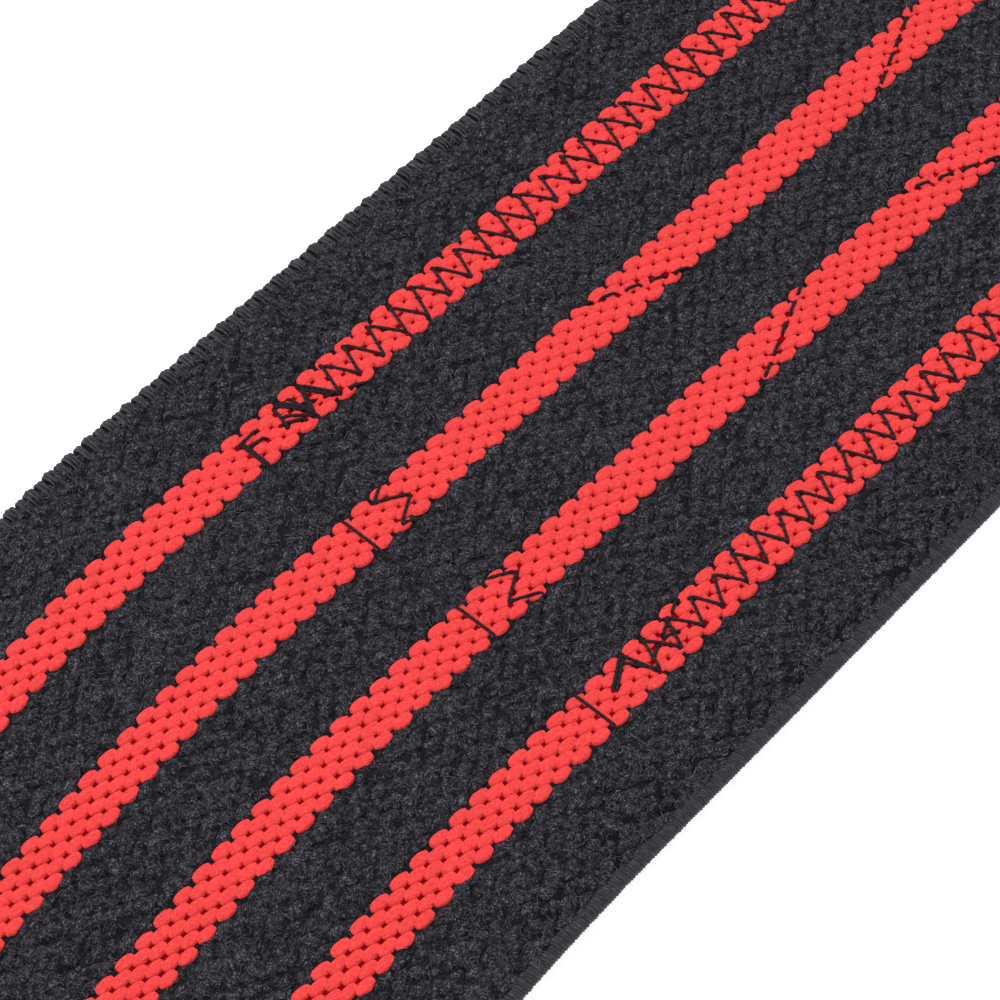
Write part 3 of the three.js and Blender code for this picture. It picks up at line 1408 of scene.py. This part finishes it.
@dataclass
class WebCore:
    """The dense middle of the web, which shows between the floats; its dark colours are painted shade for the
    deep holes there.
    """

    run: WebRun
    finishes: list[bpy.types.Material]
    half_height: float = 0.66
    step: float = 1.0
    fold_step: float = 0.3
    edge_margin: float = 0.9
    dark_margin: float = 0.95

    def stations(self) -> np.ndarray:
        """Distances along the web for the core's sections, closer in the folds."""
        size, run = self.run.size, self.run
        places = [np.arange(run.first, -size.fold, self.step)]
        places.append(np.arange(-size.fold, 0, self.fold_step))
        places.append(np.arange(0, size.length, self.step))
        places.append(np.arange(size.length, size.length + size.fold, self.fold_step))
        places.append(np.linspace(size.length + size.fold, run.last, round(size.hem / self.step) + 1))
        return np.concatenate(places)

    def build(self) -> bpy.types.Object:
        """Makes the core as one closed strip, with the darker red, painted shade for the holes, under the
        stripes.
        """
        size = self.run.size
        corners = [size.width / 2 - self.edge_margin]
        half = size.stripe_width / 2 - self.dark_margin
        for centre in size.stripe_centres:
            corners += [centre + half, centre - half]
        corners.append(-size.width / 2 + self.edge_margin)
        across = np.array(corners + corners[::-1])
        height = np.repeat([self.half_height, -self.half_height], len(corners))
        along = self.stations()
        u, y = np.meshgrid(along, across, indexing="ij")
        points = self.run.place(u, y, np.broadcast_to(height, u.shape)).reshape(-1, 3)
        faces = grid_faces(len(along), len(across), closed=True)[:, ::-1]
        yarn_map = np.stack([u.ravel(), y.ravel()], axis=-1)
        tone = np.ones(len(points))
        column = np.tile(np.arange(len(across)), len(along) - 1)
        lane = np.minimum(column, 2 * len(corners) - 2 - column)
        striped = (lane % 2 == 1) & (column != len(corners) - 1) & (column != len(across) - 1)
        patches = [Patch(points, faces[~striped], yarn_map, tone, 0)]
        patches.append(Patch(points[:0], faces[striped] - len(points), yarn_map[:0], tone[:0], 1))
        patches.append(self.ends(len(points), len(across)))
        piece = make_piece("web_core", patches, self.finishes)
        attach(piece, BODY)
        LOG.info("web_core: %d faces", len(piece.data.polygons))
        return piece

    def ends(self, count: int, around: int) -> Patch:
        """The faces that close the two cut edges.

        Args:
            count: How many points the core has.
            around: How many of them lie round a section.

        Returns:
            A patch of faces without points of its own.
        """
        faces = []
        for start, forward in ((0, True), (count - around, False)):
            for i in range(around // 2 - 1):
                corner = [start + i, start + i + 1, start + around - 2 - i, start + around - 1 - i]
                faces.append(corner[::-1] if forward else corner)
        return Patch(np.zeros((0, 3)), np.array(faces) - count, np.zeros((0, 2)), np.zeros(0), 0)


@dataclass(frozen=True)
class WoundStrand:
    """One strand that is wound over an edge, as its place in the weave's period and its reach and size."""

    place: float
    reach: float
    half_width: float
    inwards: float


@dataclass
class Selvedge:
    """One edge of the web: strands of weft that come over the edge and go back in on the other face."""

    name: str
    node: str
    weave: Weave
    edge: float
    strands: list[WoundStrand]
    finish: bpy.types.Material
    slant: float
    sink: float
    taper: float = 0.7
    strand_height: float = 0.16
    height: float = 0.95
    segments: int = 9
    sides: int = 5
    wander: tuple[float, float] = (0.03, 0.02)
    end_dip: float = 0.3
    dip_length: float = 0.6
    end_width: float = 0.35
    cord_step: float = 0.8
    cord_points: int = 7
    cord_root: tuple[float, float] = (-0.7, 0.6)

    def build(self) -> bpy.types.Object:
        """Winds the strands of every period round the edge."""
        run, period = self.weave.run, self.weave.period
        sign = 1.0 if self.edge > 0 else -1.0
        count = int((run.last - run.first) / period)
        begin = run.first + 0.5 * period
        rng = np.random.default_rng(SEED + SELVEDGE_SEED_START)
        lines, ups, widths = [], [], []
        share = np.linspace(0, 1, self.segments + 1)
        arc = self.height
        for strand in self.strands:
            along = begin + (np.arange(count) + strand.place) * period + rng.normal(0, self.wander[0], count)
            reach = np.full(count, strand.reach) + rng.normal(0, self.wander[1], count)
            flat = strand.inwards
            back = flat + math.pi * arc
            walk = share * (back + flat)
            turn = np.clip((walk - flat) / arc, 0, math.pi)
            inner = np.where(walk < flat, flat - walk, np.where(walk > back, walk - back, 0.0))
            out = arc * np.sin(turn) - inner
            dip = self.end_dip * np.clip(1 - (out + flat) / self.dip_length, 0, 1)
            high = arc * np.cos(turn) * (1 - dip)
            y = sign * (abs(self.edge) - arc - self.strand_height + reach[:, None] + out[None])
            u = along[:, None] + self.slant * (share[None] - 0.5)
            lines.append(run.place(u, y, np.broadcast_to(high, u.shape)))
            side = np.sin(turn)[None, :, None] * (sign * ACROSS_AXIS)
            ups.append(run.normal(u) * np.cos(turn)[None, :, None] + side)
            taper = np.clip((out + flat) / self.taper, 0, 1)
            width = strand.half_width * (self.end_width + (1 - self.end_width) * taper)
            widths.append(np.broadcast_to(width, u.shape))
        line, up, wide = (np.concatenate(part) for part in (lines, ups, widths))
        patch = tubes(line, up, np.full(wide.shape, self.strand_height), wide, self.sides)
        piece = make_piece(self.name, [patch, self.inner_cord(sign)], [self.finish])
        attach(piece, BODY)
        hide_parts(self.node)
        LOG.info("%s: %d faces", self.name, len(piece.data.polygons))
        return piece

    def inner_cord(self, sign: float) -> Patch:
        """The filling that the strands are wound on.

        Args:
            sign: The side of the web.

        Returns:
            A half round strip along the whole web.
        """
        run = self.weave.run
        along = np.arange(run.first, run.last, self.cord_step)
        turn = np.linspace(0, math.pi, self.cord_points)
        arc = self.height - self.sink
        root_out, root_high = self.cord_root
        out = np.concatenate([[root_out], arc * np.sin(turn), [root_out]])
        high = np.concatenate([[root_high], arc * np.cos(turn), [-root_high]])
        u, _ = np.meshgrid(along, out, indexing="ij")
        y = sign * (abs(self.edge) - self.height - self.strand_height + out)
        points = run.place(u, np.broadcast_to(y, u.shape), np.broadcast_to(high, u.shape)).reshape(-1, 3)
        yarn_map = np.stack([u.ravel(), np.broadcast_to(y, u.shape).ravel()], axis=-1)
        faces = grid_faces(len(along), len(out))
        return Patch(points, faces if sign > 0 else faces[:, ::-1], yarn_map, np.zeros(len(points)))


@dataclass
class HookTape:
    """The strip under the taped end: its cloth and its rows of hooks."""

    run: WebRun
    sewing: Sewing
    cloth_finish: bpy.types.Material
    hook_finish: bpy.types.Material
    cloth_thickness: float = 0.75
    hook_pitch_along: float = 1.9
    hook_pitch_across: float = 1.55
    filament: float = 0.1
    margin: float = 1.2
    step: float = 1.0
    thin_edge: float = 0.25
    clear_pull: float = 0.1
    wander: tuple[float, float] = (0.06, 0.05)
    hook_forward: tuple[float, ...] = (0.0, 0.0, 0.06, 0.3, 0.58, 0.72)
    hook_depth: tuple[float, ...] = (-0.1, 0.55, 0.98, 1.27, 1.22, 0.98)
    root_to_tip: tuple[float, float] = (1.15, 0.8)

    @property
    def top(self) -> float:
        """Height of the tape's upper side, below the middle layer of the web."""
        return -self.run.size.thickness / 2 - self.run.size.layer_gap

    def cloth(self) -> bpy.types.Object:
        """The woven strip, thin at its edges."""
        size = self.run.size
        half = size.tape_width / 2
        edge = self.thin_edge
        bottom = self.top - self.cloth_thickness
        top = self.top
        upper = [(-half, top - edge), (-half + edge, top), (half - edge, top), (half, top - edge)]
        lower = [(half, bottom + edge), (half - edge, bottom), (-half + edge, bottom), (-half, bottom + edge)]
        ring = upper + lower
        across, height = np.array(ring).T
        along = np.linspace(size.tape_start, size.tape_end, round(size.tape_length / self.step) + 1)
        u, y = np.meshgrid(along, across, indexing="ij")
        points = self.run.place(u, y, np.broadcast_to(height, u.shape)).reshape(-1, 3)
        faces = grid_faces(len(along), len(ring), closed=True)
        ends = []
        for start, forward in ((0, True), (len(points) - len(ring), False)):
            for numbers in ((0, 1, 2, 3), (0, 3, 4, 7), (4, 5, 6, 7)):
                corners = [start + number for number in numbers]
                ends.append(corners if forward else corners[::-1])
        faces = np.concatenate([faces, np.array(ends)])
        yarn_map = np.stack([u.ravel(), y.ravel()], axis=-1)
        patch = Patch(points, faces, yarn_map, np.ones(len(points)))
        piece = make_piece("tape_cloth", [patch], [self.cloth_finish])
        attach(piece, BODY)
        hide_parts("hook_tape")
        LOG.info("tape_cloth: %d faces", len(piece.data.polygons))
        return piece

    def hooks(self) -> bpy.types.Object:
        """The rows of hooks, left out where a seam holds them down."""
        size = self.run.size
        half = size.tape_width / 2 - self.margin
        along = np.arange(size.tape_start + self.margin, size.tape_end - self.margin, self.hook_pitch_along)
        across = np.arange(-half, half, self.hook_pitch_across)
        u, y = np.meshgrid(along, across, indexing="ij")
        row = np.broadcast_to(np.arange(len(across))[None], u.shape)
        u = u + (row % 2) * self.hook_pitch_along / 2
        free = (self.sewing.pull_at(u, y) < self.clear_pull) & (u < size.tape_end - self.margin)
        u, y, row = u[free], y[free], row[free]
        rng = np.random.default_rng(SEED + HOOK_SEED_START)
        u = u + rng.normal(0, self.wander[0], u.shape)
        direction = np.where(row % 4 < 2, 1.0, -1.0)
        depth = np.array(self.hook_depth)
        line_u = u[:, None] + direction[:, None] * np.array(self.hook_forward)
        line_y = y[:, None] + rng.normal(0, self.wander[1], (len(u), 1)) * depth[None]
        line_height = self.top - self.cloth_thickness - np.broadcast_to(depth, line_u.shape)
        lines = self.run.place(line_u, line_y, line_height)
        up = np.broadcast_to(ACROSS_AXIS, lines.shape)
        radius = np.broadcast_to(np.linspace(*self.root_to_tip, len(depth)) * self.filament, line_u.shape)
        piece = make_piece("tape_hooks", [tubes(lines, up, radius, radius, 3)], [self.hook_finish])
        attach(piece, BODY)
        LOG.info("tape_hooks: %d hooks", len(u))
        return piece


@dataclass
class SewingThreads:
    """The threads of every seam, as they lie on the outer face and on the underside."""

    run: WebRun
    sewing: Sewing
    finish: bpy.types.Material
    outer_height: float = 1.1
    stripe_height: float = 1.25
    dive: float = 0.4
    dive_sharpness: int = 10
    sunk_on_ground: float = 0.75
    less_on_stripe: float = 0.15
    set_in: float = 0.1
    past_tape: float = 0.2
    samples: int = 9
    sides: int = 5

    def dives(self) -> np.ndarray:
        """How far each point of a stitch dives into the web, most of all at its two ends."""
        from_middle = np.abs(np.linspace(-1, 1, self.samples)[None])
        return self.dive * from_middle**self.dive_sharpness

    def outer(self) -> bpy.types.Object:
        """The stitches that show on the outer face."""
        lines = self.sewing.lines(self.samples)
        u, y = lines[..., 0], lines[..., 1]
        stripe = self.sewing.on_stripe(y)
        surface = self.outer_height + (self.stripe_height - self.outer_height) * stripe
        sunk = self.sewing.pull * (self.sunk_on_ground - self.less_on_stripe * stripe)
        lift = np.array([stitch.lift for stitch in self.sewing.stitches])[:, None]
        height = surface - sunk + lift - self.dives()
        return self.thread("outer_stitches", u, y, height, Side.OUTER)

    def under(self) -> bpy.types.Object:
        """The stitches that show on the underside, on the tape or on the web beside it."""
        size = self.run.size
        lines = self.sewing.lines(self.samples)
        u, y = lines[..., 0], lines[..., 1]
        from_tape = np.maximum(size.tape_start - u, u - size.tape_end)
        taped = (from_tape < self.past_tape) & (np.abs(y) < size.tape_width / 2)
        hemmed = (u < size.hem) | (u > size.length - size.hem)
        tape_bottom = size.thickness / 2 + size.layer_gap + HookTape.cloth_thickness
        hem_bottom = 1.5 * size.thickness + size.layer_gap - self.set_in
        web_bottom = size.thickness / 2 - self.set_in
        bottom = np.where(taped, tape_bottom, np.where(hemmed, hem_bottom, web_bottom))
        bottom = np.repeat(bottom[:, self.samples // 2][:, None], self.samples, axis=1)
        height = -(bottom - self.dives())
        return self.thread("under_stitches", u, y, height, Side.UNDER)

    def thread(
        self, name: str, u: np.ndarray, y: np.ndarray, height: np.ndarray, side: Side
    ) -> bpy.types.Object:
        """Makes one face's stitches.

        Args:
            name: The piece's name.
            u: Distances along the web, a row for each stitch.
            y: Places across.
            height: Heights over the middle layer.
            side: The face.

        Returns:
            The new piece.
        """
        lines = self.run.place(u, y, height)
        up = self.run.normal(u) * side.value
        radius = np.full(u.shape, self.sewing.thread_radius)
        piece = make_piece(name, [tubes(lines, up, radius, radius, self.sides)], [self.finish])
        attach(piece, BODY)
        LOG.info("%s: %d stitches", name, len(u))
        return piece


GROUND_OUTER = FloatShape(
    half_length=1.46,
    half_width=0.88,
    crest=1.13,
    root=0.5,
    along_steps=6,
    across_steps=4,
    bluntness=2.5,
    flatness=2.3,
)
GROUND_UNDER = FloatShape(
    half_length=1.5, half_width=0.86, crest=1.08, root=0.5, along_steps=4, across_steps=2
)
STRIPE_OUTER = FloatShape(
    half_length=1.25,
    half_width=0.71,
    crest=1.22,
    root=0.5,
    along_steps=7,
    across_steps=4,
    bluntness=2.4,
    tip=0.16,
    shoulders=(0.87, 0.78),
)
STRIPE_UNDER = FloatShape(
    half_length=1.42, half_width=0.74, crest=1.08, root=0.5, along_steps=4, across_steps=2
)
FUZZY = Unevenness(
    shift=0.14, turn=0.2, size=0.12, height=0.12, lean=0.0, fibre_turn=0.8, roughness=0.08
)
SMOOTH = Unevenness(
    shift=0.02, turn=0.03, size=0.02, height=0.02, lean=-0.14, fibre_turn=0.12, roughness=0.012
)
LOOPS = [
    WoundStrand(place=0.00, reach=-0.14, half_width=0.27, inwards=1.3),
    WoundStrand(place=0.155, reach=0.00, half_width=0.29, inwards=1.35),
    WoundStrand(place=0.31, reach=-0.14, half_width=0.27, inwards=1.3),
    WoundStrand(place=0.585, reach=-0.2, half_width=0.28, inwards=1.7),
    WoundStrand(place=0.725, reach=-0.2, half_width=0.28, inwards=1.7),
]
WINDINGS = [WoundStrand(place=i / 8, reach=0.0, half_width=0.27, inwards=0.5) for i in range(8)]


@dataclass
class Wrap:
    """The whole wrist wrap."""

    size: WebSize = field(default_factory=WebSize)
    over_looped_edge: float = -0.25
    over_corded_edge: float = 0.45
    stripe_inset: float = 0.12

    def __post_init__(self) -> None:
        """Lays the web and the seams out."""
        self.run = WebRun(self.size)
        self.sewing = Sewing(self.size)
        self.weave = Weave(self.run, self.sewing)

    def lanes(self) -> list[bpy.types.Object]:
        """The ground lanes and the stripes."""
        # The loose fibres take the second, lighter copy: painted highlight.
        ground = [GROUND_YARN.material(), GROUND_FIBRE_HIGHLIT.material()]
        fibres = Fibres(self.run, self.sewing)
        stripe = STRIPE_YARN.material()
        pieces = []
        last = len(self.size.lane_edges) - 1
        for i, (high, low) in enumerate(self.size.lane_edges):
            high += self.over_looped_edge if i == 0 else 0.0
            low -= self.over_corded_edge if i == last else 0.0
            lane = Lane(
                name=f"ground_yarn_{i + 1}",
                node=f"ground_lane_{i + 1}",
                slot=Slot.GROUND,
                weave=self.weave,
                high=high,
                low=low,
                columns=self.weave.columns_in_lane,
                outer=GROUND_OUTER,
                under=GROUND_UNDER,
                uneven=FUZZY,
                finishes=ground,
                seed=SEED + LANE_SEED_STEP * i,
                fibres=fibres,
            )
            pieces.append(lane.build())
        for i, centre in enumerate(self.size.stripe_centres):
            half = self.size.stripe_width / 2 - self.stripe_inset
            lane = Lane(
                name=f"stripe_yarn_{i + 1}",
                node=f"red_stripe_{i + 1}",
                slot=Slot.STRIPE,
                weave=self.weave,
                high=centre + half,
                low=centre - half,
                columns=self.weave.columns_in_stripe,
                outer=STRIPE_OUTER,
                under=STRIPE_UNDER,
                uneven=SMOOTH,
                finishes=[stripe],
                seed=SEED + STRIPE_SEED_START + LANE_SEED_STEP * i,
            )
            pieces.append(lane.build())
        return pieces

    def selvedges(self) -> list[bpy.types.Object]:
        """The looped edge and the corded edge."""
        finish = EDGE_YARN.material()
        half = self.size.width / 2
        looped = Selvedge(
            name="looped_edge",
            node="selvedge_looped",
            weave=self.weave,
            edge=half,
            strands=LOOPS,
            finish=finish,
            slant=0.0,
            sink=0.4,
            taper=1.6,
            strand_height=0.2,
            segments=11,
        )
        corded = Selvedge(
            name="corded_edge",
            node="selvedge_corded",
            weave=self.weave,
            edge=-half,
            strands=WINDINGS,
            finish=finish,
            slant=0.8,
            sink=0.03,
            segments=7,
            sides=4,
        )
        return [looped.build(), corded.build()]

    def build(self) -> None:
        lanes = self.lanes()
        edges = self.selvedges()
        core = WebCore(self.run, [GROUND_CORE_SHADE.material(), STRIPE_CORE_SHADE.material()]).build()
        tape = HookTape(self.run, self.sewing, TAPE_CLOTH.material(), HookFinish().material())
        cloth = tape.cloth()
        hooks = tape.hooks()
        threads = SewingThreads(self.run, self.sewing, ThreadFinish().material())
        outer, under = threads.outer(), threads.under()


@dataclass
class Studio:
    """The floor, the lights and the camera."""

    floor_half: float = 1500.0
    floor_drop: float = 0.05
    camera_place: tuple[float, float, float] = (-119.263, -150.014, 331.675)
    camera_right: tuple[float, float, float] = (0.66643, -0.743899, -0.049859)
    camera_up: tuple[float, float, float] = (0.644934, 0.541635, 0.539158)
    lens: float = 129.6
    sensor: float = 36.0
    near_clip: float = 0.01
    surround: float = 0.58
    key_place: tuple[float, float, float] = (-150, 320, 700)
    key_size: float = 600
    key_power: float = 6.0
    fill_place: tuple[float, float, float] = (350, -350, 650)
    fill_size: float = 700
    fill_power: float = 2.5

    def floor(self) -> None:
        """The floor that the wrap lies on."""
        mesh = bpy.data.meshes.new("floor")
        half, low = self.floor_half * METRE, -self.floor_drop * METRE
        corners = [(-half, -half, low), (half, -half, low), (half, half, low), (-half, half, low)]
        mesh.from_pydata(corners, [], [(0, 1, 2, 3)])
        mesh.materials.append(FloorFinish().material())
        floor = bpy.data.objects.new("floor", mesh)
        bpy.context.scene.collection.objects.link(floor)

    def area_light(self, name: str, place: tuple, size: float, power: float) -> None:
        """A soft square light that looks at the middle of the wrap.

        Args:
            name: Its name.
            place: Where it stands, in millimetres.
            size: Its width in millimetres.
            power: Its power in watts.
        """
        data = bpy.data.lights.new(name, "AREA")
        data.size = size * METRE
        data.energy = power
        light = bpy.data.objects.new(name, data)
        light.location = Vector(place) * METRE
        light.rotation_euler = (-light.location).to_track_quat("-Z", "Y").to_euler()
        bpy.context.scene.collection.objects.link(light)

    def lights(self) -> None:
        """A bright even surround with one soft key light and one fill light."""
        scene = bpy.context.scene
        scene.world = bpy.data.worlds.new("surround")
        scene.world.use_nodes = True
        background = scene.world.node_tree.nodes["Background"]
        background.inputs["Color"].default_value = (1.0, 1.0, 1.0, 1.0)
        background.inputs["Strength"].default_value = self.surround
        self.area_light("key_light", self.key_place, self.key_size, self.key_power)
        self.area_light("fill_light", self.fill_place, self.fill_size, self.fill_power)
        scene.view_settings.view_transform = "Standard"

    def camera(self) -> None:
        """The camera at the photograph's angle."""
        data = bpy.data.cameras.new("camera")
        data.lens = self.lens
        data.sensor_width = self.sensor
        data.clip_start = self.near_clip
        right, up = Vector(self.camera_right).normalized(), Vector(self.camera_up).normalized()
        back = right.cross(up)
        camera = bpy.data.objects.new("camera", data)
        turned = Matrix((right, up, back)).transposed().to_4x4()
        camera.matrix_world = Matrix.Translation(Vector(self.camera_place) * METRE) @ turned
        bpy.context.scene.collection.objects.link(camera)
        bpy.context.scene.camera = camera

    def build(self) -> None:
        """Sets the studio up."""
        self.floor()
        self.lights()
        self.camera()


def main() -> None:
    """Builds the wrap and the studio."""
    logging.basicConfig(level=logging.INFO, format="%(message)s")
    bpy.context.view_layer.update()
    Studio().build()
    Wrap().build()


if __name__ == "__main__":
    main()
